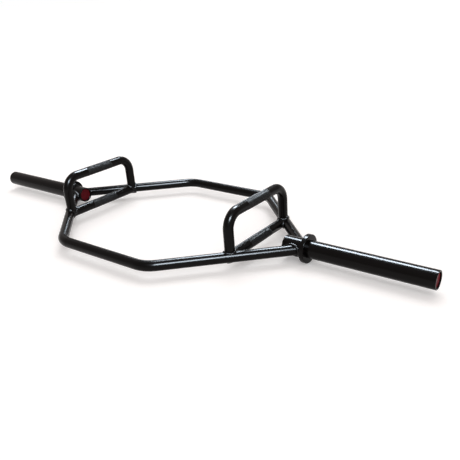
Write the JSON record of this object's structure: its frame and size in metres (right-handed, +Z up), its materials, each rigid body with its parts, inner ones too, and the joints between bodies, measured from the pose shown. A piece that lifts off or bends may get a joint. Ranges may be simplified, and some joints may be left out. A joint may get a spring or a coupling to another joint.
{
  "type": "hexagonal trap barbell",
  "caption": "Hexagonal trap barbell of gloss black welded round bar, with raised and low grips, collars and hollow plate sleeves closed by red end plugs.",
  "frame": {"origin": "midway between the sleeves' ends and between the long bars, on the surface that the two collars stand on", "axes": "+X along the sleeves' axis towards the right sleeve, -Y towards the front long bar, +Z up through the raised handles"},
  "size_m": [1.69, 0.62, 0.1684],
  "materials": {
    "gloss_black": "gloss black powder coat over steel, knurled at the middle of each grip",
    "weld_black": "gloss black powder coat over a rippled weld bead",
    "red_plastic": "dark red moulded polyethylene, slightly scuffed"
  },
  "bodies": {
    "root": {"frame_bar_front": "gloss_black", "frame_bar_rear": "gloss_black", "grip_left": "gloss_black", "grip_right": "gloss_black", "handle_left": "gloss_black", "handle_right": "gloss_black", "sleeve_left": "gloss_black", "sleeve_right": "gloss_black", "collar_left": "gloss_black", "collar_right": "gloss_black", "weld_collar_left": "weld_black", "weld_collar_right": "weld_black", "weld_frame_front_left": "weld_black", "weld_frame_front_right": "weld_black", "weld_frame_rear_left": "weld_black", "weld_frame_rear_right": "weld_black", "weld_grip_front_left": "weld_black", "weld_grip_front_right": "weld_black", "weld_grip_rear_left": "weld_black", "weld_grip_rear_right": "weld_black", "weld_handle_front_left": "weld_black", "weld_handle_front_right": "weld_black", "weld_handle_rear_left": "weld_black", "weld_handle_rear_right": "weld_black", "inner_plug_left": "red_plastic", "inner_plug_right": "red_plastic", "outer_plug_left": "red_plastic", "outer_plug_right": "red_plastic"}
  },
  "joints": []
}
